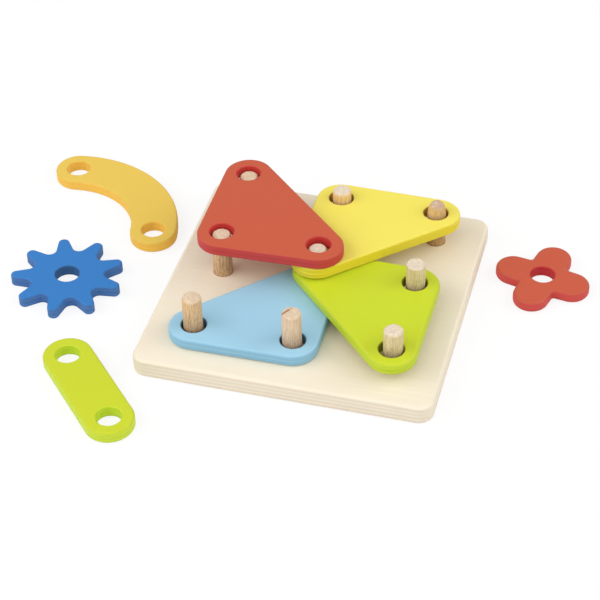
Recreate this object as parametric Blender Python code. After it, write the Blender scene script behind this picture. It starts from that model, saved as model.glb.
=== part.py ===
"""A wooden peg puzzle: nine pegs on a square board, four plates and four loose pieces.

The four triangular plates climb round the middle peg like a pinwheel, each resting on the
last and leaning outwards over its rim. The gear, the flower, the arc and the bar lie
beside the board.

Metres, +Z up. The origin is on the board's underside, under the middle peg. +X runs along
the board's front edge and +Y from the front edge to the back edge.
"""

import math

import bmesh
import bpy
from mathutils import Matrix, Vector
from mathutils.geometry import tessellate_polygon

MM = 0.001

# Gaps between pieces that touch or turn on each other
SEAT_GAP = 0.3 * MM
STACK_GAP = 0.25 * MM

# Peg grid, three by three
PEG_PITCH = 60.0 * MM
PEG_DIAMETER = 11.6 * MM
PEG_HEIGHT = 29.0 * MM
PEG_SEAT_DEPTH = 8.0 * MM
PEG_TOP_ROUNDING = 1.6 * MM
PEG_FOOT_ROUNDING = 0.6 * MM

# Board, whose centre lies a little off the middle peg
BOARD_SIDE = 179.5 * MM
BOARD_THICKNESS = 12.4 * MM
BOARD_CORNER_RADIUS = 9.0 * MM
BOARD_EDGE_ROUNDING = 2.5 * MM
BOARD_CENTRE = (-0.5 * MM, -1.1 * MM)

# What every flat piece shares
HOLE_DIAMETER = 14.8 * MM
HOLE_EDGE_ROUNDING = 0.7 * MM

# Triangular plates
PLATE_THICKNESS = 7.5 * MM
PLATE_CORNER_RADIUS = 15.0 * MM
PLATE_EDGE_ROUNDING = 1.2 * MM

# How each plate lies on its pegs, lowest plate first: how far it leans about +X and +Y in
# degrees, then its shift along x and y and its turn as shares of the play of its holes
PLATE_SETTINGS = {
    "blue_plate": (0.0, 0.0, 0.14, 0.20, 0.36),
    "green_plate": (0.5, 0.55, -0.39, -0.56, -0.30),
    "yellow_plate": (-1.9, 0.35, -0.59, 0.02, -0.30),
    "red_plate": (-0.1, -0.7, 0.39, -0.49, 0.36),
}

# Gear
GEAR_THICKNESS = 7.5 * MM
GEAR_TEETH = 9
GEAR_TIP_DIAMETER = 69.8 * MM
GEAR_ROOT_DIAMETER = 46.0 * MM
GEAR_TOOTH_TIP_WIDTH = 7.0 * MM
GEAR_TOOTH_TIP_ROUNDING = 2.6 * MM
GEAR_ROOT_RADIUS = 4.2 * MM
GEAR_EDGE_ROUNDING = 0.7 * MM

# Flower
FLOWER_THICKNESS = 7.5 * MM
FLOWER_PETALS = 4
FLOWER_DIAMETER = 59.6 * MM
FLOWER_PETAL_RADIUS = 11.0 * MM
FLOWER_NOTCH_DIAMETER = 33.2 * MM
FLOWER_NOTCH_RADIUS = 1.4 * MM
FLOWER_EDGE_ROUNDING = 1.2 * MM

# Arc and bar
ARC_THICKNESS = 7.5 * MM
ARC_WIDTH = 29.8 * MM
BAR_THICKNESS = 7.5 * MM
BAR_WIDTH = 29.6 * MM
STRIP_EDGE_ROUNDING = 1.2 * MM

# Where the loose pieces lie: x, y and the turn about +Z
GEAR_PLACE = (-154.8 * MM, -20.0 * MM, math.radians(114.2))
FLOWER_PLACE = (129.2 * MM, 49.3 * MM, math.radians(-12.0))
ARC_PLACE = (-176.5 * MM, 25.5 * MM, math.radians(8.8))
BAR_PLACE = (-108.1 * MM, -111.6 * MM, math.radians(-47.0))

# How finely curves are cut
ARC_STEP = math.radians(10)
TOOTH_ARC_STEP = math.radians(20)
CIRCLE_SIDES = 24
ROUNDING_STEPS = 2
SMOOTH_ANGLE = math.radians(50)
SAME_POINT = 1e-7

PEG_RADIUS = PEG_DIAMETER / 2
HOLE_RADIUS = HOLE_DIAMETER / 2
PEG_ROWS = (("back", 1), ("middle", 0), ("front", -1))
PEG_COLUMNS = (("left", -1), ("centre", 0), ("right", 1))


def tangent_directions(circles):
    """For each circle, the outward direction where the outline leaves it for the next one."""
    directions = []
    for (x1, y1, r1), (x2, y2, r2) in zip(circles, circles[1:] + circles[:1]):
        reach = math.hypot(x2 - x1, y2 - y1)
        lean = math.acos(max(-1.0, min(1.0, (r1 - r2) / reach)))
        directions.append(math.atan2(y2 - y1, x2 - x1) - lean)
    return directions


def stations(circles, step=ARC_STEP):
    """An outline of arcs joined by tangent lines, as (x, y, signed radius, angle) points.

    The circles (x, y, signed radius) run counter-clockwise round the outline. A positive
    radius bulges outwards and a negative one is a hollow. Every point keeps its own
    circle, so the outline can be inset exactly by making each radius smaller.
    """
    directions = tangent_directions(circles)
    found = []
    for index, (x, y, radius) in enumerate(circles):
        start = directions[index - 1]
        sweep = (directions[index] - start) % math.tau
        if sweep > math.tau - SAME_POINT:
            sweep = 0.0
        if radius < 0 and sweep > 0:
            sweep -= math.tau
        count = math.ceil(abs(sweep) / step - SAME_POINT)
        for k in range(count + 1):
            angle = start + sweep * k / max(count, 1)
            found.append((x, y, radius, angle))
    places = inset_points(found, 0.0)
    return [s for s, here, last in zip(found, places, places[-1:] + places)
            if math.dist(here, last) > SAME_POINT]


def circle_stations(x, y, radius, sides=CIRCLE_SIDES):
    """A whole circle: positive radius for a round piece, negative for a hole."""
    return [(x, y, radius, math.tau * k / sides) for k in range(sides)]


def inset_points(outline, inset):
    """The outline's points, moved into the material by the inset."""
    return [(x + (radius - inset) * math.cos(angle), y + (radius - inset) * math.sin(angle))
            for x, y, radius, angle in outline]


def rounded_wall(thickness, foot, top, steps=ROUNDING_STEPS):
    """(inset, z) pairs up a piece's side, with a quarter round at its foot and its top."""
    quarter = [math.pi / 2 * k / steps for k in range(steps + 1)]
    lower = [(foot * (1 - math.sin(a)), foot * (1 - math.cos(a))) for a in quarter]
    upper = [(top * (1 - math.sin(a)), thickness - top * (1 - math.cos(a))) for a in quarter]
    return lower + upper[::-1]


def slab_mesh(name, outline, wall, holes=(), hole_wall=()):
    """A flat piece: its outline and its holes are carried up their walls, then capped."""
    bm = bmesh.new()
    towers = []
    for loop, rows in [(outline, wall)] + [(hole, hole_wall) for hole in holes]:
        tower = [[bm.verts.new((x, y, z)) for x, y in inset_points(loop, inset)]
                 for inset, z in rows]
        for low, high in zip(tower, tower[1:]):
            for i in range(len(low)):
                bm.faces.new((low[i - 1], low[i], high[i], high[i - 1]))
        towers.append(tower)
    for level in (0, -1):
        rims = [tower[level] for tower in towers]
        if len(rims) == 1:
            bm.faces.new(rims[0])
            continue
        corners = [vert for rim in rims for vert in rim]
        for triangle in tessellate_polygon([[vert.co for vert in rim] for rim in rims]):
            bm.faces.new([corners[i] for i in triangle])
    bmesh.ops.recalc_face_normals(bm, faces=bm.faces)
    mesh = bpy.data.meshes.new(name)
    bm.to_mesh(mesh)
    bm.free()
    mesh.shade_smooth()
    mesh.set_sharp_from_angle(angle=SMOOTH_ANGLE)
    return mesh


def finish(name, colour, roughness):
    """A plain material of one colour."""
    material = bpy.data.materials.new(name)
    material.use_nodes = True
    shader = material.node_tree.nodes["Principled BSDF"]
    shader.inputs["Base Color"].default_value = (*colour, 1.0)
    shader.inputs["Roughness"].default_value = roughness
    shader.inputs["Metallic"].default_value = 0.0
    return material


def add_piece(name, mesh, material, place=(0.0, 0.0, 0.0), turn=Matrix.Identity(3)):
    """An object of that mesh, whose own material leaves a shared mesh as it is."""
    piece = bpy.data.objects.new(name, mesh)
    bpy.context.scene.collection.objects.link(piece)
    piece.location = place
    piece.rotation_euler = turn.to_euler()
    if not mesh.materials:
        mesh.materials.append(None)
    piece.material_slots[0].link = "OBJECT"
    piece.material_slots[0].material = material
    return piece


def flatten_shading(piece):
    """Keeps the flat faces looking flat beside their rounded edges."""
    normals = piece.modifiers.new("flat_face_normals", "WEIGHTED_NORMAL")
    normals.keep_sharp = True


def drill_pattern():
    """The nine blind peg holes as one cutter, half sunk in the board's top."""
    drill_radius = PEG_RADIUS + SEAT_GAP
    bm = bmesh.new()
    for _, row in PEG_ROWS:
        for _, column in PEG_COLUMNS:
            centre = Vector((column * PEG_PITCH, row * PEG_PITCH, BOARD_THICKNESS))
            bmesh.ops.create_cone(
                bm,
                cap_ends=True,
                segments=CIRCLE_SIDES,
                radius1=drill_radius,
                radius2=drill_radius,
                depth=2 * PEG_SEAT_DEPTH,
                matrix=Matrix.Translation(centre),
            )
    mesh = bpy.data.meshes.new("peg_drill")
    bm.to_mesh(mesh)
    bm.free()
    cutter = bpy.data.objects.new("peg_drill", mesh)
    bpy.context.scene.collection.objects.link(cutter)
    cutter.hide_render = True
    cutter.display_type = "WIRE"
    return cutter


def make_board(birch):
    """The square board, its edges rounded over, with a blind hole for each peg."""
    reach = BOARD_SIDE / 2 - BOARD_CORNER_RADIUS
    middle_x, middle_y = BOARD_CENTRE
    corners = [(-reach, -reach), (reach, -reach), (reach, reach), (-reach, reach)]
    outline = stations([(middle_x + x, middle_y + y, BOARD_CORNER_RADIUS) for x, y in corners])
    wall = rounded_wall(BOARD_THICKNESS, BOARD_EDGE_ROUNDING, BOARD_EDGE_ROUNDING)
    board = add_piece("base_board", slab_mesh("base_board", outline, wall), birch)
    drilling = board.modifiers.new("peg_holes", "BOOLEAN")
    drilling.operation = "DIFFERENCE"
    drilling.solver = "EXACT"
    drilling.object = drill_pattern()


def make_pegs(dowel):
    """Nine turned pegs, glued into the board. They share one mesh."""
    length = PEG_HEIGHT + PEG_SEAT_DEPTH - SEAT_GAP
    wall = rounded_wall(length, PEG_FOOT_ROUNDING, PEG_TOP_ROUNDING)
    mesh = slab_mesh("peg", circle_stations(0.0, 0.0, PEG_RADIUS), wall)
    foot = BOARD_THICKNESS - PEG_SEAT_DEPTH + SEAT_GAP
    for row_name, row in PEG_ROWS:
        for column_name, column in PEG_COLUMNS:
            place = (column * PEG_PITCH, row * PEG_PITCH, foot)
            add_piece(f"peg_{row_name}_{column_name}", mesh, dowel, place)


def holes_at(centres):
    """A hole loop round each centre."""
    return [circle_stations(x, y, -HOLE_RADIUS) for x, y in centres]


def flat_piece(name, outline, centres, thickness, edge_rounding):
    """The mesh of one painted piece with eased edges and eased round holes."""
    wall = rounded_wall(thickness, edge_rounding, edge_rounding)
    hole_wall = rounded_wall(thickness, HOLE_EDGE_ROUNDING, HOLE_EDGE_ROUNDING, steps=1)
    return slab_mesh(name, outline, wall, holes_at(centres), hole_wall)


def clipped(outline, window):
    """The part of one convex outline inside another. Both run counter-clockwise."""
    for start, end in zip(window, window[1:] + window[:1]):
        along = end - start
        kept = []
        for here, there in zip(outline, outline[1:] + outline[:1]):
            side_here = along.cross(here - start)
            side_there = along.cross(there - start)
            if side_here >= 0:
                kept.append(here)
            if side_here * side_there < 0:
                kept.append(here.lerp(there, side_here / (side_here - side_there)))
        outline = kept
    return outline


class PlateFace:
    """The flat of a plate's upper or lower face, where the plate has been put."""

    def __init__(self, rim, level, turn, place):
        corners = [turn @ Vector((x, y, level)) + place for x, y in rim]
        self.outline = [corner.to_2d() for corner in corners]
        self.corner = corners[0]
        self.normal = turn @ Vector((0.0, 0.0, 1.0))

    def height(self, point):
        """How high the face lies over a point of the plan."""
        away = point - self.corner.to_2d()
        return self.corner.z - away.dot(self.normal.to_2d()) / self.normal.z


def rise(upper, lower):
    """How far the upper face must rise to rest on the lower one, a stack gap above it."""
    shared = clipped(upper.outline, lower.outline)
    return max(lower.height(point) - upper.height(point) for point in shared) + STACK_GAP


def make_plates(paints):
    """Four equal plates on the pegs, each a quarter turn past the last and resting on it.

    A plate's own origin is midway between its three holes, halfway through its thickness.
    """
    pegs = [(0.0, -PEG_PITCH), (0.0, 0.0), (-PEG_PITCH, -PEG_PITCH)]
    middle = Vector((sum(x for x, _ in pegs) / 3, sum(y for _, y in pegs) / 3, 0.0))
    centres = [(x - middle.x, y - middle.y) for x, y in pegs]
    outline = stations([(x, y, PLATE_CORNER_RADIUS) for x, y in centres])
    rim = inset_points(outline, PLATE_EDGE_ROUNDING)
    furthest = max(math.hypot(x, y) for x, y in centres)
    half = PLATE_THICKNESS / 2
    mesh = flat_piece("plate", outline, centres, PLATE_THICKNESS, PLATE_EDGE_ROUNDING)
    mesh.transform(Matrix.Translation((0.0, 0.0, -half)))
    below = None
    for quarter, (name, setting) in enumerate(PLATE_SETTINGS.items()):
        lean_x, lean_y = (math.radians(degrees) for degrees in setting[:2])
        shift_x, shift_y, turn_share = setting[2:]
        steepest = math.hypot(lean_x, lean_y)
        play = HOLE_RADIUS - PEG_RADIUS - SEAT_GAP - half * math.sin(steepest)
        ahead = quarter * math.pi / 2
        lean = Matrix.Rotation(lean_y, 3, "Y") @ Matrix.Rotation(lean_x, 3, "X")
        turn = lean @ Matrix.Rotation(ahead + turn_share * play / furthest, 3, "Z")
        place = Matrix.Rotation(ahead, 3, "Z") @ middle
        place += Vector((shift_x * play, shift_y * play, BOARD_THICKNESS + STACK_GAP + half))
        if below:
            place.z += rise(PlateFace(rim, -half, turn, place), below)
        below = PlateFace(rim, half, turn, place)
        add_piece(name, mesh, paints[name], place, turn)


def lay_loose(name, mesh, paint, place):
    """A piece that lies flat on the table beside the board."""
    x, y, turn = place
    add_piece(name, mesh, paint, (x, y, 0.0), Matrix.Rotation(turn, 3, "Z"))


def make_gear(paint):
    """Nine round-cornered teeth with round roots between them, turning on its hole."""
    tip_reach = GEAR_TIP_DIAMETER / 2 - GEAR_TOOTH_TIP_ROUNDING
    tip_side = GEAR_TOOTH_TIP_WIDTH / 2 - GEAR_TOOTH_TIP_ROUNDING
    root_reach = GEAR_ROOT_DIAMETER / 2 + GEAR_ROOT_RADIUS
    tooth = [
        (Vector((tip_reach, -tip_side)), 0.0, GEAR_TOOTH_TIP_ROUNDING),
        (Vector((tip_reach, tip_side)), 0.0, GEAR_TOOTH_TIP_ROUNDING),
        (Vector((root_reach, 0.0)), math.pi / GEAR_TEETH, -GEAR_ROOT_RADIUS),
    ]
    circles = []
    for index in range(GEAR_TEETH):
        for centre, ahead, radius in tooth:
            angle = math.tau * index / GEAR_TEETH + ahead
            circles.append((*(Matrix.Rotation(angle, 2) @ centre), radius))
    outline = stations(circles, TOOTH_ARC_STEP)
    mesh = flat_piece("blue_gear", outline, [(0.0, 0.0)], GEAR_THICKNESS, GEAR_EDGE_ROUNDING)
    lay_loose("blue_gear", mesh, paint, GEAR_PLACE)


def make_flower(paint):
    """Four round petals with a small notch between each two, turning on its hole."""
    petal_reach = FLOWER_DIAMETER / 2 - FLOWER_PETAL_RADIUS
    notch_reach = FLOWER_NOTCH_DIAMETER / 2 + FLOWER_NOTCH_RADIUS
    circles = []
    for index in range(FLOWER_PETALS):
        petal = math.tau * index / FLOWER_PETALS
        notch = petal + math.pi / FLOWER_PETALS
        circles.append((petal_reach * math.cos(petal), petal_reach * math.sin(petal),
                        FLOWER_PETAL_RADIUS))
        circles.append((notch_reach * math.cos(notch), notch_reach * math.sin(notch),
                        -FLOWER_NOTCH_RADIUS))
    mesh = flat_piece("red_flower", stations(circles), [(0.0, 0.0)], FLOWER_THICKNESS,
                      FLOWER_EDGE_ROUNDING)
    lay_loose("red_flower", mesh, paint, FLOWER_PLACE)


def make_arc(paint):
    """A quarter ring that reaches from one peg to the next but one round a third peg.

    Its own origin is the ring's centre, and its holes are one peg pitch from there.
    """
    centres = [(PEG_PITCH, 0.0), (0.0, PEG_PITCH)]
    half = ARC_WIDTH / 2
    circles = [
        (0.0, 0.0, PEG_PITCH + half),
        (*centres[1], half),
        (0.0, 0.0, half - PEG_PITCH),
        (*centres[0], half),
    ]
    mesh = flat_piece("orange_arc", stations(circles), centres, ARC_THICKNESS,
                      STRIP_EDGE_ROUNDING)
    lay_loose("orange_arc", mesh, paint, ARC_PLACE)


def make_bar(paint):
    """A round-ended bar whose two holes are one peg pitch apart."""
    centres = [(-PEG_PITCH / 2, 0.0), (PEG_PITCH / 2, 0.0)]
    outline = stations([(x, y, BAR_WIDTH / 2) for x, y in centres])
    mesh = flat_piece("green_bar", outline, centres, BAR_THICKNESS, STRIP_EDGE_ROUNDING)
    lay_loose("green_bar", mesh, paint, BAR_PLACE)


def main():
    for old in list(bpy.data.objects):
        bpy.data.objects.remove(old, do_unlink=True)
    birch = finish("birch_plywood", (0.85, 0.76, 0.60), 0.6)
    dowel = finish("beech_dowel", (0.66, 0.46, 0.29), 0.65)
    paints = {
        "blue_plate": finish("light_blue_paint", (0.36, 0.61, 0.80), 0.5),
        "green_plate": finish("lime_green_paint", (0.60, 0.74, 0.03), 0.5),
        "yellow_plate": finish("yellow_paint", (0.90, 0.79, 0.14), 0.5),
        "red_plate": finish("red_paint", (0.61, 0.13, 0.07), 0.5),
    }
    make_board(birch)
    make_pegs(dowel)
    make_plates(paints)
    make_gear(finish("deep_blue_paint", (0.05, 0.23, 0.62), 0.5))
    make_flower(finish("coral_red_paint", (0.61, 0.13, 0.07), 0.5))
    make_arc(finish("orange_paint", (0.81, 0.56, 0.11), 0.5))
    make_bar(finish("fresh_green_paint", (0.64, 0.74, 0.04), 0.5))
    for piece in bpy.data.objects:
        if not piece.hide_render:
            flatten_shading(piece)


main()
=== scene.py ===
"""Looks of the wooden peg puzzle.

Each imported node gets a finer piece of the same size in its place, with painted plywood,
bare plywood or dowel wood on it. Sizes are millimetres here and metres in the scene. A
colour of three numbers is 0 to 255 on a screen, and one of four is the shader's own.
"""

import math

import bmesh
import bpy
from mathutils import Matrix, Vector, noise
from mathutils.geometry import tessellate_polygon


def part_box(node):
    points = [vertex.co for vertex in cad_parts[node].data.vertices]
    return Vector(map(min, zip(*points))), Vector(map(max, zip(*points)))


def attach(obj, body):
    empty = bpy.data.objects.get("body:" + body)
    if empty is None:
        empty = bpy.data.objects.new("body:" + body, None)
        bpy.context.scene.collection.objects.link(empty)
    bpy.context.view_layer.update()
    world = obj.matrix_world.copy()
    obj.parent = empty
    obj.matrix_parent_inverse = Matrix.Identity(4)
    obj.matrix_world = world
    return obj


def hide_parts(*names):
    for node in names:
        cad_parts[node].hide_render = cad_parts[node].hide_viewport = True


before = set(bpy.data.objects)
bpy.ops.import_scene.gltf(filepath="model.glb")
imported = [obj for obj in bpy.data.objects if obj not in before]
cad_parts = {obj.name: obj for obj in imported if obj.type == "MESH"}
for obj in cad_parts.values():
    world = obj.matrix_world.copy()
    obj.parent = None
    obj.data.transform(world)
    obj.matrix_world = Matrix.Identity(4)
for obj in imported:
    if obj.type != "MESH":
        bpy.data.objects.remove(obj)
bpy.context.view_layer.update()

MM = 0.001
WHITE = (1.0, 1.0, 1.0, 1.0)
BLACK = (0.0, 0.0, 0.0, 1.0)
UNTURNED = Matrix.Identity(3)

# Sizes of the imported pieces
PITCH = 60.0
SEAT_GAP = 0.3
PEG_RADIUS = 5.8
PEG_HEIGHT = 29.0
PEG_SEAT_DEPTH = 8.0
PEG_FOOT_ROUNDING = 0.6
BOARD_SIDE = 179.5
BOARD_THICKNESS = 12.4
BOARD_CORNER_RADIUS = 9.0
BOARD_EDGE_ROUNDING = 2.5
BOARD_CENTRE = (-0.5, -1.1)
PIECE_THICKNESS = 7.5
HOLE_RADIUS = 7.4
PLATE_CORNER_RADIUS = 15.0
GEAR_TEETH = 9
GEAR_TIP_RADIUS = 34.9
GEAR_ROOT_CIRCLE = 23.0
GEAR_TOOTH_TIP_WIDTH = 7.0
GEAR_ROOT_RADIUS = 4.2
FLOWER_PETALS = 4
FLOWER_RADIUS = 29.8
FLOWER_PETAL_RADIUS = 11.0
FLOWER_NOTCH_REACH = 18.0
FLOWER_NOTCH_RADIUS = 1.4
ARC_HALF_WIDTH = 14.9
BAR_HALF_WIDTH = 14.8

# Roundings from sanding and paint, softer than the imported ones
HOLE_EDGE_ROUNDING = 0.9
GEAR_TOOTH_TIP_ROUNDING = 3.3
GEAR_EDGE_ROUNDING = 1.2
FLOWER_EDGE_ROUNDING = 2.4
STRIP_EDGE_ROUNDING = 1.6

# Place of each loose piece: x, y and its turn in degrees
GEAR_PLACE = (-154.8, -20.0, 114.2)
FLOWER_PLACE = (129.2, 49.3, -12.0)
ARC_PLACE = (-176.5, 25.5, 8.8)
BAR_PLACE = (-108.1, -111.6, -47.0)

# How each plate lies on its pegs, lowest plate first: how far it leans about +X and +Y in
# degrees, its shift along x and y and its turn as shares of the play of its holes, and the
# rounding of its edges
PLATE_SETTINGS = {
    "blue_plate": (0.0, 0.0, 0.14, 0.20, 0.36, 1.4),
    "green_plate": (0.5, 0.55, -0.39, -0.56, -0.30, 2.2),
    "yellow_plate": (-1.9, 0.35, -0.59, 0.02, -0.30, 1.2),
    "red_plate": (-0.1, -0.7, 0.39, -0.49, 0.36, 1.4),
}

# How finely the round shapes are cut
ARC_STEP = math.radians(4)
HOLE_SIDES = 72
PEG_SIDES = 64
ROUNDING_STEPS = 6
HOLE_ROUNDING_STEPS = 4
BOARD_ROUNDING_STEPS = 8
PEG_TOP_STEPS = 8
PEG_TOP_RINGS = 16

# Points of an outline that are nearer than this are one, and edges of the board that bend
# more than this stay sharp
SAME_POINT = 1e-4
BOARD_SHARP_ANGLE = math.radians(60)

# The pegs' woods: light, middle and dark
TAN = ((235, 202, 157), (209, 171, 129), (145, 107, 84))
CREAM = ((228, 203, 172), (213, 183, 150), (156, 120, 98))
# A lighter copy of the golden wood two rows below: painted light on the back centre peg,
# lifting the shade near its plate's hole
GOLD_WOOD_LIT = ((241, 209, 148), (221, 184, 129), (146, 106, 70))
STRAW = ((227, 209, 164), (209, 188, 142), (148, 125, 88))
# The same golden wood as two rows above, darkened: painted shade on the back right peg
GOLD_WOOD_SHADED = ((225, 190, 131), (204, 166, 114), (134, 95, 62))
# A warm wood, partly its own tone and partly painted red light thrown by the red plate above
# the middle left peg
WARM_WOOD_RED_GLOW = ((247, 210, 162), (220, 178, 134), (129, 92, 68))

# Their sawn tops: pale and ruddy
PALE_TOP = ((239, 226, 205), (221, 196, 170))
TAN_TOP = ((234, 213, 186), (213, 182, 150))
PINK_TOP = ((222, 196, 168), (188, 150, 123))

# Each peg: its column and row, how far its top edge is eased inwards and down, how straight
# that slope is, and its wood
PEGS = {
    "peg_back_left": (-1, 1, 1.3, 1.7, 0.2, TAN, TAN_TOP),
    "peg_back_centre": (0, 1, 1.5, 2.2, 0.3, GOLD_WOOD_LIT, PALE_TOP),
    "peg_back_right": (1, 1, 2.15, 8.0, 0.3, GOLD_WOOD_SHADED, PINK_TOP),
    "peg_middle_left": (-1, 0, 1.2, 1.5, 0.2, WARM_WOOD_RED_GLOW, TAN_TOP),
    "peg_middle_centre": (0, 0, 1.3, 1.6, 0.2, TAN, PALE_TOP),
    "peg_middle_right": (1, 0, 0.9, 1.1, 0.0, STRAW, PALE_TOP),
    "peg_front_left": (-1, -1, 1.7, 2.4, 0.3, TAN, TAN_TOP),
    "peg_front_centre": (0, -1, 1.1, 1.5, 0.2, CREAM, TAN_TOP),
    "peg_front_right": (1, -1, 1.7, 2.2, 0.3, STRAW, PALE_TOP),
}

# How unevenly the tops are sawn: the waves' scale, how far apart the pegs' patterns lie, the
# waves' middle and depth, their share on the eased edge, and the slack in finding that edge
SAW_SCALE = 0.45
SAW_PATTERN_STEP = 9.0
SAW_MIDDLE = 0.9
SAW_DEPTH = 0.14
SAW_EDGE_SHARE = 0.6
SAW_EDGE_SLACK = 0.01

# The one peg whose top is split: the direction and reach of the split from the axis, where
# along it the split fades, its width and depth, and what is left of its depth when faded
SPLIT_PEG = "peg_front_centre"
SPLIT_DIRECTION = (-0.866, 0.5)
SPLIT_REACH = 3.0
SPLIT_END = (0.8, 2.2)
SPLIT_HALF_WIDTH = 0.6
SPLIT_DEPTH = 0.7
SPLIT_DEPTH_LEFT = 0.2

# Painted shade in the split: how dark it is, how ragged, how wide the dark is, and what is left
# of it when faded
SPLIT_PAINTED_SHADE = 0.9
SPLIT_RAGGED = 0.8
SPLIT_SHADE_SIDES = (0.3, 1.1)
SPLIT_SHADE_LEFT = 0.35

# Patterns in the wood, as noise cells to a millimetre along x, y and z. They are longest
# where the number is lowest, which is how the grain runs
LAYER_DRIFT = (0.045, 0.045, 0.0)
LAYER_FIBRES = (2.4, 2.4, 2.4)
PAINT_GRAIN = (0.05, 0.9, 0.9)
PAINT_PATCHES = (0.03, 0.03, 0.03)
PAINT_PATCHES_SHIFT = (7.0, 3.0, 1.0)
BOARD_LONG_GRAIN = (0.018, 0.5, 0.5)
BOARD_FINE_GRAIN = (0.09, 3.0, 3.0)
BOARD_CLOUDS = (0.014, 0.022, 0.02)
BOARD_CLOUDS_SHIFT = (3.0, 9.0, 4.0)
PEG_BROAD_STREAKS = (0.2, 0.2, 0.02)
PEG_STREAKS = (0.9, 0.9, 0.06)
PEG_FINE_STREAKS = (2.2, 2.2, 0.16)
PEG_PORES = (3.2, 3.2, 0.4)
PEG_TOP_SPECKS = (1.5, 1.5, 1.5)
PEG_TOP_PATCHES = (0.5, 0.5, 0.5)
PEG_PATTERN_STEP = (31.7, 17.3, 5.1)

# Plywood edges: from which slope they show, how far the layers wander, how wide a glue line
# is, a number that keeps every layer's count positive, and how the layers' tones differ
EDGE_SLOPE = (0.15, 0.7)
LAYER_WANDER = 0.12
GLUE_LINE = (0.02, 0.2)
LAYERS_BELOW = 10.0
LAYER_TONE_STEP = 7.31
LAYER_TONES = (0.35, 0.65)

# Painted plywood: its layers' thickness, how far beyond a hole's wall the bore's painted shade
# and light reach in full, and how strongly each pattern shows. A pair gives how much the
# pattern adds and how much is always there
PAINTED_LAYER = 1.5
BORE_SLACK = 0.1
PAINTED_END_GRAIN = (0.4, 0.25)
PAINTED_GLUE = 0.55
PAINTED_FIBRES = (0.8, 0.6)
PAINTED_PLY_BRIGHTNESS = 0.35
PAINT_UNEVENNESS = 0.03
PAINT_ROUGHNESS = (0.12, 0.42)
PAINTED_PLY_ROUGHER = 0.3
PAINT_GRAIN_RELIEF = 0.012
PAINTED_PLY_RELIEF = -0.12
PAINT_SPECULAR = 0.3

# Painted shade on the rounded edges: how much darker the paint is made there, to dull the
# highlight that the lamps put on them, and at which slopes that starts and ends
RIM_PAINTED_SHADE = 0.1
RIM_SHADE_START = (0.02, 0.2)
RIM_SHADE_END = (0.4, 0.85)

# Each painted piece's slot, the colours of its faces and edges, the colour of its bores, which
# is painted shade darker than the paint and, in the arc and the bar, painted light, and how
# much ply shows
PAINTS = {
    "blue_plate": ("light_blue_paint", (159, 205, 229), (142, 194, 223), (84, 130, 160), 0.3),
    "green_plate": ("lime_green_paint", (199, 213, 41), (193, 214, 42), (140, 150, 10), 0.35),
    "yellow_plate": ("yellow_paint", (242, 227, 95), (240, 221, 53), (190, 150, 50), 0.5),
    "red_plate": ("red_paint", (195, 86, 57), (201, 65, 63), (201, 57, 52), 0.35),
    "blue_gear": ("deep_blue_paint", (47, 120, 191), (68, 115, 175), (50, 99, 149), 0.5),
    "red_flower": ("coral_red_paint", (196, 86, 59), (203, 72, 65), (196, 50, 54), 0.2),
    "orange_arc": ("orange_paint", (231, 196, 85), (240, 189, 73), (241, 195, 81), 0.12),
    "green_bar": ("fresh_green_paint", (199, 210, 43), (200, 218, 51), (201, 223, 47), 0.22),
}

# The bare board's colours, and where and how much each pattern shows
BOARD_LAYERS = 9
BOARD_FACE = ((243, 233, 212), (241, 229, 205))
BOARD_CLOUD = (242, 230, 208)
BOARD_STREAK = (223, 199, 162)
BOARD_EDGE = ((239, 229, 209), (236, 224, 201))
BOARD_END_GRAIN = (227, 211, 191)
BOARD_GLUE = (193, 168, 139)
BOARD_GRAIN_TONES = (0.3, 0.7)
BOARD_CLOUD_TONES = (0.35, 0.7)
BOARD_FIBRE_TONES = (0.35, 0.7)
BOARD_STREAK_TONES = (0.5, 0.8)
BOARD_STREAK_SHARE = 0.12
BOARD_END_GRAIN_SHARE = (0.6, 0.4)
BOARD_GLUE_SHARE = 0.24
BOARD_ROUGHNESS = (0.12, 0.5)
BOARD_END_GRAIN_RELIEF = -0.06
BOARD_GLUE_RELIEF = -0.05
BOARD_GRAIN_RELIEF = 0.02
BOARD_SPECULAR = 0.15

# The pegs: where each pattern shows, and how much. The dark marks are worn away towards the
# top until a share is left, and the foot is darker, partly grime and partly painted shade from
# the board and plates around it. Heights are from the peg's foot
PEG_STREAK_TONES = (0.4, 0.66)
PEG_BROAD_TONES = (0.4, 0.65)
PEG_BROAD_SHARE = 0.5
PEG_FINE_TONES = (0.5, 0.72)
PEG_PORE_TONES = (0.62, 0.7)
PEG_MARK_SHARE = 0.6
PEG_WORN_HEIGHTS = (16.0, PEG_HEIGHT + PEG_SEAT_DEPTH)
PEG_MARKS_LEFT = 0.35
PEG_FOOT_HEIGHTS = (14.0, 30.0)
PEG_FOOT_SHADE_AND_GRIME = 0.34
PEG_TOP_PATCH_TONES = (0.35, 0.65)
PEG_TOP_PATCH_SHARE = 0.5
PEG_TOP_SPECK_TONES = (0.46, 0.64)
PEG_TOP_SPECK_SHARE = 0.8
PEG_TOP_SLOPE = (0.2, 0.75)
PEG_ROUGHNESS = (0.15, 0.55)
PEG_FINE_RELIEF = -0.09
PEG_PORE_RELIEF = -0.05
PEG_SPECK_RELIEF = 0.2
PEG_SPECULAR = 0.2

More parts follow.
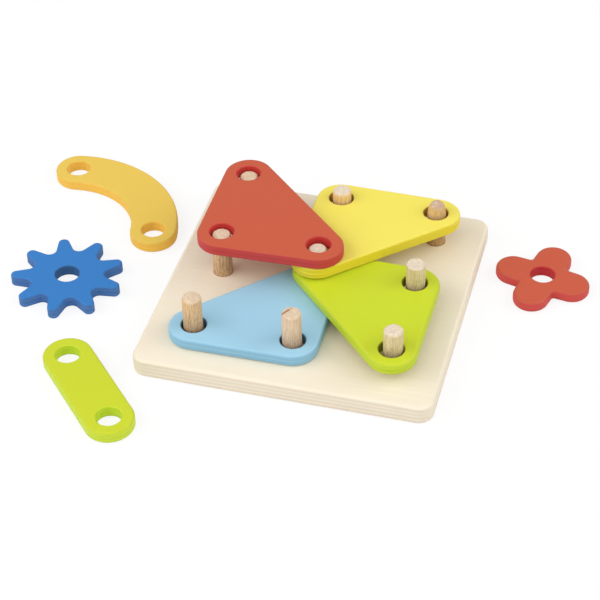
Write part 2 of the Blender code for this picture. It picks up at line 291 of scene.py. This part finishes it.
# The studio. The floor's size and the lamps' distance and size are in metres, angles in
# degrees, and the floor lies a little below the object so that the two never coincide
FLOOR_SIZE = 8.0
FLOOR_DROP = 0.02
FLOOR_GREY = (0.92, 0.92, 0.92, 1.0)
SHADOW_SHARE = 0.18
WORLD_STRENGTH = 0.3
LAMP_DISTANCE = 2.2
LAMPS = {
    # name: (azimuth, elevation, size, watts)
    "softbox_above": (16.0, 85.0, 1.9, 5.2),
    "softbox_front": (16.0, 50.0, 1.5, 6.9),
    "softbox_front_left": (-30.0, 35.0, 1.5, 12.6),
    "softbox_front_right": (62.0, 35.0, 1.5, 8.2),
    "softbox_left": (-75.0, 35.0, 1.5, 18.0),
    "softbox_right": (107.0, 35.0, 1.5, 16.9),
}

# The photograph's camera: its angles in degrees, its place from the top of the middle peg,
# its lens and sensor, and the nearest and furthest that it sees in metres
CAMERA_AZIMUTH = 15.8240
CAMERA_ELEVATION = 40.4349
CAMERA_ROLL = -1.2475
CAMERA_DISTANCE = 18.6322 * PITCH
CAMERA_ACROSS = -0.17550 * PITCH
CAMERA_UPWARDS = -0.51146 * PITCH
CAMERA_LENS = 112.589
CAMERA_SENSOR = 36.0
CAMERA_CLIP = (0.01, 50.0)


# Outlines and solids

def tangent_directions(circles):
    """For each circle, the outward direction where the outline leaves it for the next."""
    directions = []
    for (x1, y1, r1), (x2, y2, r2) in zip(circles, circles[1:] + circles[:1]):
        reach = math.hypot(x2 - x1, y2 - y1)
        lean = math.acos(max(-1.0, min(1.0, (r1 - r2) / reach)))
        directions.append(math.atan2(y2 - y1, x2 - x1) - lean)
    return directions


def stations(circles):
    """An outline of arcs joined by tangent lines, as (x, y, signed radius, angle) points."""
    directions = tangent_directions(circles)
    found = []
    for index, (x, y, radius) in enumerate(circles):
        start = directions[index - 1]
        sweep = (directions[index] - start) % math.tau
        if sweep > math.tau - SAME_POINT:
            sweep = 0.0
        if radius < 0 and sweep > 0:
            sweep -= math.tau
        count = max(1, math.ceil(abs(sweep) / ARC_STEP))
        found += [(x, y, radius, start + sweep * k / count) for k in range(count + 1)]
    places = inset_points(found, 0.0)
    return [s for s, here, last in zip(found, places, places[-1:] + places)
            if math.dist(here, last) > SAME_POINT]


def circle_stations(x, y, radius, sides=HOLE_SIDES):
    """A whole circle: positive radius for a round piece, negative for a hole."""
    return [(x, y, radius, math.tau * k / sides) for k in range(sides)]


def inset_points(outline, inset):
    """The outline's points, moved into the material by the inset."""
    return [(x + (radius - inset) * math.cos(angle), y + (radius - inset) * math.sin(angle))
            for x, y, radius, angle in outline]


def rounded_wall(thickness, rounding, steps=ROUNDING_STEPS):
    """(inset, z) pairs up a piece's side, with a quarter round at its foot and its top."""
    quarter = [math.pi / 2 * k / steps for k in range(steps + 1)]
    eased = [(rounding * (1 - math.sin(a)), rounding * (1 - math.cos(a))) for a in quarter]
    return eased + [(inset, thickness - z) for inset, z in eased[::-1]]


def join_loops(bm, loops):
    """Faces between each closed loop of points and the next."""
    for low, high in zip(loops, loops[1:]):
        for i in range(len(low)):
            bm.faces.new((low[i - 1], low[i], high[i], high[i - 1]))


def finished_mesh(name, bm):
    """The mesh of what was built, smooth and with its faces outwards."""
    bmesh.ops.recalc_face_normals(bm, faces=bm.faces)
    mesh = bpy.data.meshes.new(name)
    bm.to_mesh(mesh)
    bm.free()
    mesh.shade_smooth()
    return mesh


def slab_mesh(name, outline, wall, holes, hole_wall, blind=False):
    """A flat piece whose walls follow the outline and the holes. A blind hole has a floor."""
    bm = bmesh.new()
    towers = []
    for loop, rows in [(outline, wall)] + [(hole, hole_wall) for hole in holes]:
        tower = [[bm.verts.new((x * MM, y * MM, z * MM)) for x, y in inset_points(loop, inset)]
                 for inset, z in rows]
        join_loops(bm, tower)
        towers.append(tower)
    if blind:
        for tower in towers:
            bm.faces.new(tower[0])
    for level in ((-1,) if blind else (0, -1)):
        rims = [tower[level] for tower in towers]
        corners = [vert for rim in rims for vert in rim]
        for triangle in tessellate_polygon([[vert.co for vert in rim] for rim in rims]):
            bm.faces.new([corners[i] for i in triangle])
    return finished_mesh(name, bm)


def add_piece(node, body, mesh, material, place=(0.0, 0.0, 0.0), turn=UNTURNED):
    """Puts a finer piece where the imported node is, riding on the node's body."""
    mesh.transform(turn.to_4x4())
    mesh.materials.append(material)
    piece = bpy.data.objects.new(node + "_wood", mesh)
    bpy.context.scene.collection.objects.link(piece)
    piece.location = [value * MM for value in place]
    normals = piece.modifiers.new("flat_face_normals", "WEIGHTED_NORMAL")
    normals.keep_sharp = True
    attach(piece, body)
    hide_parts(node)


# Shader nodes

def linear(screen):
    """A colour given as 0 to 255 on a screen, as the shader's linear values."""
    def value(c):
        c /= 255
        return c / 12.92 if c <= 0.04045 else ((c + 0.055) / 1.055) ** 2.4
    return tuple(value(c) for c in screen) + (1.0,)


class Graph:
    """Builds the nodes of one material."""

    def __init__(self, name):
        self.material = bpy.data.materials.new(name)
        self.material.use_nodes = True
        self.nodes = self.material.node_tree.nodes
        self.links = self.material.node_tree.links
        self.shader = self.nodes["Principled BSDF"]

    def feed(self, socket, value):
        if isinstance(value, bpy.types.NodeSocket):
            self.links.new(value, socket)
        else:
            socket.default_value = value

    def add(self, kind, **settings):
        node = self.nodes.new("ShaderNode" + kind)
        for key, value in settings.items():
            setattr(node, key, value)
        return node

    def math(self, operation, *values):
        node = self.add("Math", operation=operation)
        for socket, value in zip(node.inputs, values):
            self.feed(socket, value)
        return node.outputs[0]

    def vector(self, operation, *values):
        node = self.add("VectorMath", operation=operation)
        for socket, value in zip(node.inputs, values):
            self.feed(socket, value)
        return node.outputs["Value" if operation in ("LENGTH", "DOT_PRODUCT") else "Vector"]

    def split(self, vector):
        node = self.add("SeparateXYZ")
        self.feed(node.inputs[0], vector)
        return node.outputs

    def pattern(self, point, cells, shift=(0.0, 0.0, 0.0), detail=2.0, roughness=0.5):
        """Noise with so many cells to a millimetre along x, y and z."""
        return self.noise(self.vector("MULTIPLY_ADD", point, cells, shift), detail, roughness)

    def noise(self, vector, detail, roughness=0.5):
        node = self.add("TexNoise", noise_dimensions="3D")
        self.feed(node.inputs["Vector"], vector)
        node.inputs["Scale"].default_value = 1.0
        node.inputs["Detail"].default_value = detail
        node.inputs["Roughness"].default_value = roughness
        return node.outputs[0]

    def step(self, value, low, high, to_low=0.0, to_high=1.0):
        """Smoothly from to_low to to_high as the value goes from low to high."""
        node = self.add("MapRange", interpolation_type="SMOOTHSTEP")
        for socket, number in zip(node.inputs, (value, low, high, to_low, to_high)):
            self.feed(socket, number)
        return node.outputs[0]

    def mix(self, factor, first, second):
        """From the first colour to the second. The node's colours are sockets 6 and 7."""
        node = self.add("Mix", data_type="RGBA")
        self.feed(node.inputs[0], factor)
        self.feed(node.inputs[6], first)
        self.feed(node.inputs[7], second)
        return node.outputs[2]

    def finish(self, colour, roughness, specular, relief):
        """Feeds the shader. The relief is a height in millimetres."""
        bump = self.add("Bump")
        bump.inputs["Strength"].default_value = 1.0
        bump.inputs["Distance"].default_value = MM
        self.feed(bump.inputs["Height"], relief)
        self.feed(self.shader.inputs["Normal"], bump.outputs[0])
        self.feed(self.shader.inputs["Base Color"], colour)
        self.feed(self.shader.inputs["Roughness"], roughness)
        self.shader.inputs["Specular IOR Level"].default_value = specular
        return self.material


def place_on_piece(graph, turn):
    """The point in millimetres in the piece's own frame, and the face's direction there."""
    coordinates = graph.add("TexCoord")
    point = graph.vector("SCALE", coordinates.outputs["Object"])
    point.node.inputs["Scale"].default_value = 1 / MM
    found = []
    for value in (point, coordinates.outputs["Normal"]):
        turned_back = graph.add("VectorRotate", rotation_type="EULER_XYZ", invert=True)
        graph.feed(turned_back.inputs["Vector"], value)
        turned_back.inputs["Rotation"].default_value = turn.to_euler()
        found.append(turned_back.outputs[0])
    return found[0], graph.split(found[1])


def sideways_share(graph, direction):
    """How far a face is turned away from up and down: 1 on an upright wall."""
    return graph.math("SUBTRACT", 1.0, graph.math("ABSOLUTE", direction[2]))


def ply_pattern(graph, point, direction, layer):
    """What the layers of plywood show on an edge.

    Gives how much of an edge this is, how near a glue line, how much end grain, the tone
    of this layer, and the height of the fibres there.
    """
    edge = graph.step(sideways_share(graph, direction), *EDGE_SLOPE)
    drift = graph.pattern(point, LAYER_DRIFT)
    lifted = graph.math("MULTIPLY_ADD", drift, LAYER_WANDER * 2, graph.split(point)[2])
    level = graph.math("DIVIDE", graph.math("SUBTRACT", lifted, LAYER_WANDER), layer)
    inside = graph.math("FRACT", level)
    nearest = graph.math("MINIMUM", inside, graph.math("SUBTRACT", 1.0, inside))
    glue = graph.step(graph.math("MULTIPLY", nearest, layer), *GLUE_LINE, 1.0, 0.0)
    number = graph.math("FLOOR", graph.math("ADD", level, LAYERS_BELOW))
    odd = graph.math("MODULO", number, 2.0)
    tone = graph.noise(graph.math("MULTIPLY", number, LAYER_TONE_STEP), detail=0.0)
    along_x = graph.math("POWER", graph.math("ABSOLUTE", direction[0]), 2.0)
    along_y = graph.math("POWER", graph.math("ABSOLUTE", direction[1]), 2.0)
    end_x = graph.math("MULTIPLY", along_x, graph.math("SUBTRACT", 1.0, odd))
    end_grain = graph.math("MULTIPLY_ADD", along_y, odd, end_x)
    fibres = graph.pattern(point, LAYER_FIBRES, roughness=0.6)
    return edge, glue, end_grain, graph.step(tone, *LAYER_TONES), fibres


def bore_mask(graph, point, centres):
    """How far inside one of the round holes the surface lies: 1 on a hole's wall, where the
    bores' painted shade and light go.
    """
    flat = graph.vector("MULTIPLY", point, (1.0, 1.0, 0.0))
    nearest = None
    for x, y in centres:
        away = graph.vector("LENGTH", graph.vector("SUBTRACT", flat, (x, y, 0.0)))
        nearest = away if nearest is None else graph.math("MINIMUM", nearest, away)
    return graph.step(nearest, HOLE_RADIUS + BORE_SLACK, HOLE_RADIUS + HOLE_EDGE_ROUNDING,
                      1.0, 0.0)


def painted_plywood(name, turn, face, edge_tint, bore_shade_and_light, ply_strength, centres):
    """Satin paint on plywood: the glue lines and the thirsty end grain show on its edges, and
    painted shade and light lie on its bores and rounded rims.
    """
    graph = Graph(name)
    point, direction = place_on_piece(graph, turn)
    edge, glue, end_grain, tone, fibres = ply_pattern(graph, point, direction, PAINTED_LAYER)
    grain = graph.pattern(point, PAINT_GRAIN, detail=3.0, roughness=0.6)
    patches = graph.pattern(point, PAINT_PATCHES, PAINT_PATCHES_SHIFT, detail=1.0)

    raw = graph.math("MULTIPLY", end_grain,
                     graph.math("MULTIPLY_ADD", tone, *PAINTED_END_GRAIN))
    ply = graph.math("MULTIPLY_ADD", glue, PAINTED_GLUE, raw)
    ply = graph.math("MULTIPLY", ply, graph.math("MULTIPLY_ADD", fibres, *PAINTED_FIBRES))
    ply = graph.math("MULTIPLY", ply, graph.math("MULTIPLY", edge, ply_strength))

    sideways = sideways_share(graph, direction)
    # Painted shade: the rounded rims are darkened to dull the lamps' highlight on them
    rim_shade = graph.math("MULTIPLY", graph.step(sideways, *RIM_SHADE_START),
                         graph.step(sideways, *RIM_SHADE_END, RIM_PAINTED_SHADE, 0.0))
    uneven = graph.math("MULTIPLY_ADD", graph.math("ADD", grain, patches),
                        -PAINT_UNEVENNESS, PAINT_UNEVENNESS)

    colour = graph.mix(edge, linear(face), linear(edge_tint))
    # Painted shade and light: the bores' walls take a colour that stands in for the pegs' shade
    # in the plates and the light in the loose pieces' holes
    colour = graph.mix(bore_mask(graph, point, centres), colour, linear(bore_shade_and_light))
    colour = graph.mix(graph.math("ADD", uneven, rim_shade), colour, BLACK)
    bare = tuple(c * PAINTED_PLY_BRIGHTNESS for c in linear(edge_tint)[:3]) + (1.0,)
    colour = graph.mix(ply, colour, bare)
    roughness = graph.math("MULTIPLY_ADD", ply, PAINTED_PLY_ROUGHER,
                           graph.math("MULTIPLY_ADD", grain, *PAINT_ROUGHNESS))
    relief = graph.math("MULTIPLY_ADD", grain, PAINT_GRAIN_RELIEF,
                        graph.math("MULTIPLY", ply, PAINTED_PLY_RELIEF))
    return graph.finish(colour, roughness, PAINT_SPECULAR, relief)


def bare_plywood(name):
    """Pale plywood: a faint long grain on the faces and striped layers on the edges."""
    graph = Graph(name)
    point, direction = place_on_piece(graph, UNTURNED)
    layer = BOARD_THICKNESS / BOARD_LAYERS
    edge, glue, end_grain, tone, fibres = ply_pattern(graph, point, direction, layer)
    long_grain = graph.pattern(point, BOARD_LONG_GRAIN, detail=4.0, roughness=0.6)
    fine_grain = graph.pattern(point, BOARD_FINE_GRAIN, roughness=0.6)
    clouds = graph.pattern(point, BOARD_CLOUDS, BOARD_CLOUDS_SHIFT)

    pale, paler = (linear(screen) for screen in BOARD_FACE)
    face = graph.mix(graph.step(long_grain, *BOARD_GRAIN_TONES), pale, paler)
    face = graph.mix(graph.step(clouds, *BOARD_CLOUD_TONES), face, linear(BOARD_CLOUD))
    streaks = graph.step(fine_grain, *BOARD_STREAK_TONES, 0.0, BOARD_STREAK_SHARE)
    face = graph.mix(streaks, face, linear(BOARD_STREAK))

    light, dull = (linear(screen) for screen in BOARD_EDGE)
    side = graph.mix(graph.step(fibres, *BOARD_FIBRE_TONES), light, dull)
    raw = graph.math("MULTIPLY", end_grain,
                     graph.math("MULTIPLY_ADD", tone, *BOARD_END_GRAIN_SHARE))
    side = graph.mix(raw, side, linear(BOARD_END_GRAIN))
    side = graph.mix(graph.math("MULTIPLY", glue, BOARD_GLUE_SHARE), side, linear(BOARD_GLUE))

    roughness = graph.math("MULTIPLY_ADD", long_grain, *BOARD_ROUGHNESS)
    layers = graph.math("MULTIPLY_ADD", end_grain, BOARD_END_GRAIN_RELIEF,
                        graph.math("MULTIPLY", glue, BOARD_GLUE_RELIEF))
    relief = graph.math("MULTIPLY_ADD", fine_grain, BOARD_GRAIN_RELIEF,
                        graph.math("MULTIPLY", edge, layers))
    return graph.finish(graph.mix(edge, face, side), roughness, BOARD_SPECULAR, relief)


def split_shade(graph, point, specks):
    """How dark the split in a peg's top is, with ragged sides: painted shade in the crack."""
    beyond = graph.vector("DOT_PRODUCT", point, (*SPLIT_DIRECTION, 0.0))
    ragged = graph.math("MULTIPLY_ADD", specks, SPLIT_RAGGED, beyond)
    away = graph.math("SUBTRACT", ragged, SPLIT_REACH + SPLIT_RAGGED / 2)
    dark = graph.step(graph.math("ABSOLUTE", away), *SPLIT_SHADE_SIDES, SPLIT_PAINTED_SHADE, 0.0)
    across = (SPLIT_DIRECTION[1], -SPLIT_DIRECTION[0], 0.0)
    fading = graph.step(graph.vector("DOT_PRODUCT", point, across), *SPLIT_END,
                        1.0, SPLIT_SHADE_LEFT)
    return graph.math("MULTIPLY", dark, fading)


def dowel_wood(name, tones, top_tones, seed, split):
    """One peg's wood: streaks and pores along it, speckled end grain on its top, painted shade
    and grime towards its foot, and painted shade in a split.
    """
    graph = Graph(name)
    point, direction = place_on_piece(graph, UNTURNED)
    shift = [seed * step for step in PEG_PATTERN_STEP]
    broad = graph.pattern(point, PEG_BROAD_STREAKS, shift)
    streak = graph.pattern(point, PEG_STREAKS, shift, detail=3.0, roughness=0.6)
    fine = graph.pattern(point, PEG_FINE_STREAKS, shift, roughness=0.6)
    pores = graph.step(graph.pattern(point, PEG_PORES, shift, detail=0.0), *PEG_PORE_TONES)
    specks = graph.pattern(point, PEG_TOP_SPECKS, shift, detail=3.0, roughness=0.7)
    patches = graph.pattern(point, PEG_TOP_PATCHES, shift, detail=1.0)

    light, middle, dark = (linear(screen) for screen in tones)
    height = graph.split(point)[2]
    worn = graph.step(height, *PEG_WORN_HEIGHTS, 1.0, PEG_MARKS_LEFT)
    side = graph.mix(graph.step(streak, *PEG_STREAK_TONES), light, middle)
    side = graph.mix(graph.step(broad, *PEG_BROAD_TONES, 0.0, PEG_BROAD_SHARE), side, middle)
    # Darker towards the foot: partly grime, partly painted shade where the board and plates
    # crowd the peg
    side = graph.mix(graph.step(height, *PEG_FOOT_HEIGHTS, PEG_FOOT_SHADE_AND_GRIME, 0.0), side, dark)
    for mark in (graph.step(fine, *PEG_FINE_TONES), pores):
        strength = graph.math("MULTIPLY", mark, PEG_MARK_SHARE)
        side = graph.mix(graph.math("MULTIPLY", strength, worn), side, dark)

    pale, ruddy = (linear(screen) for screen in top_tones)
    patchy = graph.step(patches, *PEG_TOP_PATCH_TONES, 0.0, PEG_TOP_PATCH_SHARE)
    speckled = graph.step(specks, *PEG_TOP_SPECK_TONES, 0.0, PEG_TOP_SPECK_SHARE)
    top = graph.mix(speckled, graph.mix(patchy, pale, ruddy), ruddy)
    if split:
        # Painted shade in the split, where the mesh has only a shallow groove
        top = graph.mix(split_shade(graph, point, specks), top, dark)

    sawn = graph.step(direction[2], *PEG_TOP_SLOPE)
    roughness = graph.math("MULTIPLY_ADD", streak, *PEG_ROUGHNESS)
    relief = graph.math("MULTIPLY_ADD", fine, PEG_FINE_RELIEF,
                        graph.math("MULTIPLY", pores, PEG_PORE_RELIEF))
    relief = graph.math("MULTIPLY_ADD", graph.math("MULTIPLY", specks, sawn),
                        PEG_SPECK_RELIEF, relief)
    return graph.finish(graph.mix(sawn, side, top), roughness, PEG_SPECULAR, relief)


# The board and its pegs

def make_board():
    reach = BOARD_SIDE / 2 - BOARD_CORNER_RADIUS
    middle_x, middle_y = BOARD_CENTRE
    corners = [(-reach, -reach), (reach, -reach), (reach, reach), (-reach, reach)]
    outline = stations([(middle_x + x, middle_y + y, BOARD_CORNER_RADIUS) for x, y in corners])
    wall = rounded_wall(BOARD_THICKNESS, BOARD_EDGE_ROUNDING, BOARD_ROUNDING_STEPS)
    pegs = [(i * PITCH, j * PITCH) for i in (-1, 0, 1) for j in (-1, 0, 1)]
    holes = [circle_stations(x, y, -PEG_RADIUS - SEAT_GAP, PEG_SIDES) for x, y in pegs]
    hole_wall = [(0.0, BOARD_THICKNESS - PEG_SEAT_DEPTH), (0.0, BOARD_THICKNESS)]
    mesh = slab_mesh("board", outline, wall, holes, hole_wall, blind=True)
    mesh.set_sharp_from_angle(angle=BOARD_SHARP_ANGLE)
    add_piece("base_board", "base", mesh, bare_plywood("birch_plywood"))


def peg_profile(length, ease_in, ease_down, straight):
    """(radius, z) rows from a dowel's foot up its side, and inwards over its top."""
    rows = [(PEG_RADIUS - inset, z) for inset, z in rounded_wall(length, PEG_FOOT_ROUNDING)
            if z < length / 2]
    for k in range(PEG_TOP_STEPS + 1):
        share = k / PEG_TOP_STEPS
        turn = math.pi / 2 * share
        inwards = (1 - straight) * (1 - math.cos(turn)) + straight * share
        downwards = (1 - straight) * (1 - math.sin(turn)) + straight * (1 - share)
        rows.append((PEG_RADIUS - ease_in * inwards, length - ease_down * downwards))
    flat = rows[-1][0]
    rings = range(PEG_TOP_RINGS - 1, 0, -1)
    return rows + [(flat * ring / PEG_TOP_RINGS, length) for ring in rings]


def split_sink(x, y):
    """How deep the split is at a place on its peg's top."""
    beyond = x * SPLIT_DIRECTION[0] + y * SPLIT_DIRECTION[1] - SPLIT_REACH
    along = x * SPLIT_DIRECTION[1] - y * SPLIT_DIRECTION[0]
    start, end = SPLIT_END
    faded = max(0.0, min(1.0, (along - start) / (end - start)))
    depth = SPLIT_DEPTH * (1 - (1 - SPLIT_DEPTH_LEFT) * faded)
    return depth * math.exp(-(beyond / SPLIT_HALF_WIDTH) ** 2)


def peg_mesh(name, ease_in, ease_down, straight, seed):
    """A dowel with a turned top edge and a slightly uneven sawn top."""
    length = PEG_HEIGHT + PEG_SEAT_DEPTH - SEAT_GAP
    bm = bmesh.new()
    loops = []
    for radius, z in peg_profile(length, ease_in, ease_down, straight):
        loop = []
        for k in range(PEG_SIDES):
            angle = math.tau * k / PEG_SIDES
            x, y = radius * math.cos(angle), radius * math.sin(angle)
            sink = 0.0
            if z > length - ease_down - SAW_EDGE_SLACK:
                place = Vector((x * SAW_SCALE, y * SAW_SCALE, seed * SAW_PATTERN_STEP))
                share = 1.0 if z == length else SAW_EDGE_SHARE
                sink = SAW_DEPTH * (noise.noise(place) + SAW_MIDDLE) * share
                if name == SPLIT_PEG:
                    sink += split_sink(x, y)
            loop.append(bm.verts.new((x * MM, y * MM, (z - sink) * MM)))
        loops.append(loop)
    join_loops(bm, loops)
    bm.faces.new(loops[0])
    bm.faces.new(loops[-1])
    return finished_mesh(name, bm)


def make_pegs():
    foot = BOARD_THICKNESS - PEG_SEAT_DEPTH + SEAT_GAP
    for seed, (node, setting) in enumerate(PEGS.items()):
        column, row, ease_in, ease_down, straight, tones, top_tones = setting
        mesh = peg_mesh(node, ease_in, ease_down, straight, seed)
        wood = dowel_wood(node + "_dowel", tones, top_tones, seed + 1, node == SPLIT_PEG)
        add_piece(node, "base", mesh, wood, (column * PITCH, row * PITCH, foot))


# The painted pieces

def add_painted(node, outline, centres, place, turn, edge_rounding):
    """A flat painted piece with round holes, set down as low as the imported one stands."""
    wall = rounded_wall(PIECE_THICKNESS, edge_rounding)
    hole_wall = rounded_wall(PIECE_THICKNESS, HOLE_EDGE_ROUNDING, HOLE_ROUNDING_STEPS)
    holes = [circle_stations(x, y, -HOLE_RADIUS) for x, y in centres]
    mesh = slab_mesh(node, outline, wall, holes, hole_wall)
    lowest = min((turn @ vert.co).z for vert in mesh.vertices)
    place = (place[0], place[1], (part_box(node)[0][2] - lowest) / MM)
    slot, face, edge_tint, bore_shade_and_light, ply_strength = PAINTS[node]
    paint = painted_plywood(slot, turn, face, edge_tint, bore_shade_and_light, ply_strength, centres)
    add_piece(node, node, mesh, paint, place, turn)


def make_plates():
    """Four equal plates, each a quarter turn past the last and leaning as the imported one."""
    pegs = [(0.0, -PITCH), (0.0, 0.0), (-PITCH, -PITCH)]
    middle = Vector((sum(x for x, _ in pegs) / 3, sum(y for _, y in pegs) / 3, 0.0))
    centres = [(x - middle.x, y - middle.y) for x, y in pegs]
    outline = stations([(x, y, PLATE_CORNER_RADIUS) for x, y in centres])
    furthest = max(math.hypot(x, y) for x, y in centres)
    half = PIECE_THICKNESS / 2
    for quarter, (node, setting) in enumerate(PLATE_SETTINGS.items()):
        lean_x, lean_y = (math.radians(degrees) for degrees in setting[:2])
        shift_x, shift_y, turn_share, edge_rounding = setting[2:]
        steepest = math.hypot(lean_x, lean_y)
        play = HOLE_RADIUS - PEG_RADIUS - SEAT_GAP - half * math.sin(steepest)
        ahead = quarter * math.pi / 2
        lean = Matrix.Rotation(lean_y, 3, "Y") @ Matrix.Rotation(lean_x, 3, "X")
        turn = lean @ Matrix.Rotation(ahead + turn_share * play / furthest, 3, "Z")
        place = Matrix.Rotation(ahead, 3, "Z") @ middle
        place += Vector((shift_x * play, shift_y * play, 0.0)) - turn @ Vector((0.0, 0.0, half))
        add_painted(node, outline, centres, place, turn, edge_rounding)


def add_loose(node, place, circles, centres, edge_rounding):
    """One of the pieces that lie beside the board."""
    x, y, degrees = place
    turn = Matrix.Rotation(math.radians(degrees), 3, "Z")
    add_painted(node, stations(circles), centres, (x, y), turn, edge_rounding)


def make_gear():
    tip_reach = GEAR_TIP_RADIUS - GEAR_TOOTH_TIP_ROUNDING
    tip_side = GEAR_TOOTH_TIP_WIDTH / 2 - GEAR_TOOTH_TIP_ROUNDING
    root_reach = GEAR_ROOT_CIRCLE + GEAR_ROOT_RADIUS
    tooth = [
        (Vector((tip_reach, -tip_side)), 0.0, GEAR_TOOTH_TIP_ROUNDING),
        (Vector((tip_reach, tip_side)), 0.0, GEAR_TOOTH_TIP_ROUNDING),
        (Vector((root_reach, 0.0)), math.pi / GEAR_TEETH, -GEAR_ROOT_RADIUS),
    ]
    circles = []
    for index in range(GEAR_TEETH):
        for centre, ahead, radius in tooth:
            angle = math.tau * index / GEAR_TEETH + ahead
            circles.append((*(Matrix.Rotation(angle, 2) @ centre), radius))
    add_loose("blue_gear", GEAR_PLACE, circles, [(0.0, 0.0)], GEAR_EDGE_ROUNDING)


def make_flower():
    petal_reach = FLOWER_RADIUS - FLOWER_PETAL_RADIUS
    circles = []
    for index in range(FLOWER_PETALS):
        petal = math.tau * index / FLOWER_PETALS
        notch = petal + math.pi / FLOWER_PETALS
        circles.append((petal_reach * math.cos(petal), petal_reach * math.sin(petal),
                        FLOWER_PETAL_RADIUS))
        circles.append((FLOWER_NOTCH_REACH * math.cos(notch),
                        FLOWER_NOTCH_REACH * math.sin(notch), -FLOWER_NOTCH_RADIUS))
    add_loose("red_flower", FLOWER_PLACE, circles, [(0.0, 0.0)], FLOWER_EDGE_ROUNDING)


def make_arc():
    circles = [
        (0.0, 0.0, PITCH + ARC_HALF_WIDTH),
        (0.0, PITCH, ARC_HALF_WIDTH),
        (0.0, 0.0, ARC_HALF_WIDTH - PITCH),
        (PITCH, 0.0, ARC_HALF_WIDTH),
    ]
    centres = [(PITCH, 0.0), (0.0, PITCH)]
    add_loose("orange_arc", ARC_PLACE, circles, centres, STRIP_EDGE_ROUNDING)


def make_bar():
    centres = [(-PITCH / 2, 0.0), (PITCH / 2, 0.0)]
    circles = [(x, y, BAR_HALF_WIDTH) for x, y in centres]
    add_loose("green_bar", BAR_PLACE, circles, centres, STRIP_EDGE_ROUNDING)


# The studio

def direction_from(azimuth, elevation):
    """From the middle out: degrees round from the front, and degrees up."""
    a, e = math.radians(azimuth), math.radians(elevation)
    return Vector((math.sin(a) * math.cos(e), -math.cos(a) * math.cos(e), math.sin(e)))


def make_floor():
    """A wide white floor. Seen by the camera it is white, less a share of the shadows."""
    bpy.ops.mesh.primitive_plane_add(size=FLOOR_SIZE, location=(0.0, 0.0, -FLOOR_DROP * MM))
    floor = bpy.context.object
    floor.name = "floor"
    material = bpy.data.materials.new("floor_white")
    material.use_nodes = True
    tree = material.node_tree
    tree.nodes.clear()
    seen = tree.nodes.new("ShaderNodeLightPath")
    shaded = tree.nodes.new("ShaderNodeBsdfDiffuse")
    shaded.inputs["Color"].default_value = WHITE
    plain = tree.nodes.new("ShaderNodeBsdfDiffuse")
    plain.inputs["Color"].default_value = FLOOR_GREY
    glow = tree.nodes.new("ShaderNodeEmission")
    glow.inputs["Color"].default_value = WHITE
    partly = tree.nodes.new("ShaderNodeMixShader")
    partly.inputs[0].default_value = SHADOW_SHARE
    tree.links.new(glow.outputs[0], partly.inputs[1])
    tree.links.new(shaded.outputs[0], partly.inputs[2])
    chosen = tree.nodes.new("ShaderNodeMixShader")
    tree.links.new(seen.outputs["Is Camera Ray"], chosen.inputs[0])
    tree.links.new(plain.outputs[0], chosen.inputs[1])
    tree.links.new(partly.outputs[0], chosen.inputs[2])
    out = tree.nodes.new("ShaderNodeOutputMaterial")
    tree.links.new(chosen.outputs[0], out.inputs["Surface"])
    floor.data.materials.append(material)


def make_world():
    """Even white light all round, and plain white where the camera or gloss sees it."""
    world = bpy.data.worlds.new("studio")
    bpy.context.scene.world = world
    world.use_nodes = True
    tree = world.node_tree
    background = tree.nodes["Background"]
    background.inputs["Color"].default_value = WHITE
    seen = tree.nodes.new("ShaderNodeLightPath")
    either = tree.nodes.new("ShaderNodeMath")
    either.operation = "MAXIMUM"
    tree.links.new(seen.outputs["Is Camera Ray"], either.inputs[0])
    tree.links.new(seen.outputs["Is Glossy Ray"], either.inputs[1])
    strength = tree.nodes.new("ShaderNodeMapRange")
    strength.inputs["To Min"].default_value = WORLD_STRENGTH
    strength.inputs["To Max"].default_value = 1.0
    tree.links.new(either.outputs[0], strength.inputs["Value"])
    tree.links.new(strength.outputs[0], background.inputs["Strength"])


def make_lamps():
    """Large soft lamps that face the board."""
    for name, (azimuth, elevation, size, watts) in LAMPS.items():
        lamp = bpy.data.lights.new(name, "AREA")
        lamp.shape = "SQUARE"
        lamp.size = size
        lamp.energy = watts
        holder = bpy.data.objects.new(name, lamp)
        bpy.context.scene.collection.objects.link(holder)
        outwards = direction_from(azimuth, elevation)
        holder.location = outwards * LAMP_DISTANCE
        holder.rotation_mode = "QUATERNION"
        holder.rotation_quaternion = (-outwards).to_track_quat("-Z", "Y")


def make_camera():
    """The photograph's camera, fitted to the pegs, the plates and the board."""
    back = direction_from(CAMERA_AZIMUTH, CAMERA_ELEVATION)
    right = direction_from(CAMERA_AZIMUTH + 90, 0.0)
    up = back.cross(right)
    roll = math.radians(CAMERA_ROLL)
    right, up = (right * math.cos(roll) + up * math.sin(roll),
                 up * math.cos(roll) - right * math.sin(roll))
    eye = Vector((0.0, 0.0, BOARD_THICKNESS + PEG_HEIGHT)) + back * CAMERA_DISTANCE
    eye += right * CAMERA_ACROSS + up * CAMERA_UPWARDS
    lens = bpy.data.cameras.new("camera")
    lens.lens = CAMERA_LENS
    lens.sensor_width = CAMERA_SENSOR
    lens.clip_start, lens.clip_end = CAMERA_CLIP
    camera = bpy.data.objects.new("camera", lens)
    bpy.context.scene.collection.objects.link(camera)
    facing = Matrix((right, up, back)).transposed().to_4x4()
    camera.matrix_world = Matrix.Translation(eye * MM) @ facing
    bpy.context.scene.camera = camera


make_board()
make_pegs()
make_plates()
make_gear()
make_flower()
make_arc()
make_bar()
make_floor()
make_world()
make_lamps()
make_camera()
bpy.context.scene.view_settings.view_transform = "Standard"
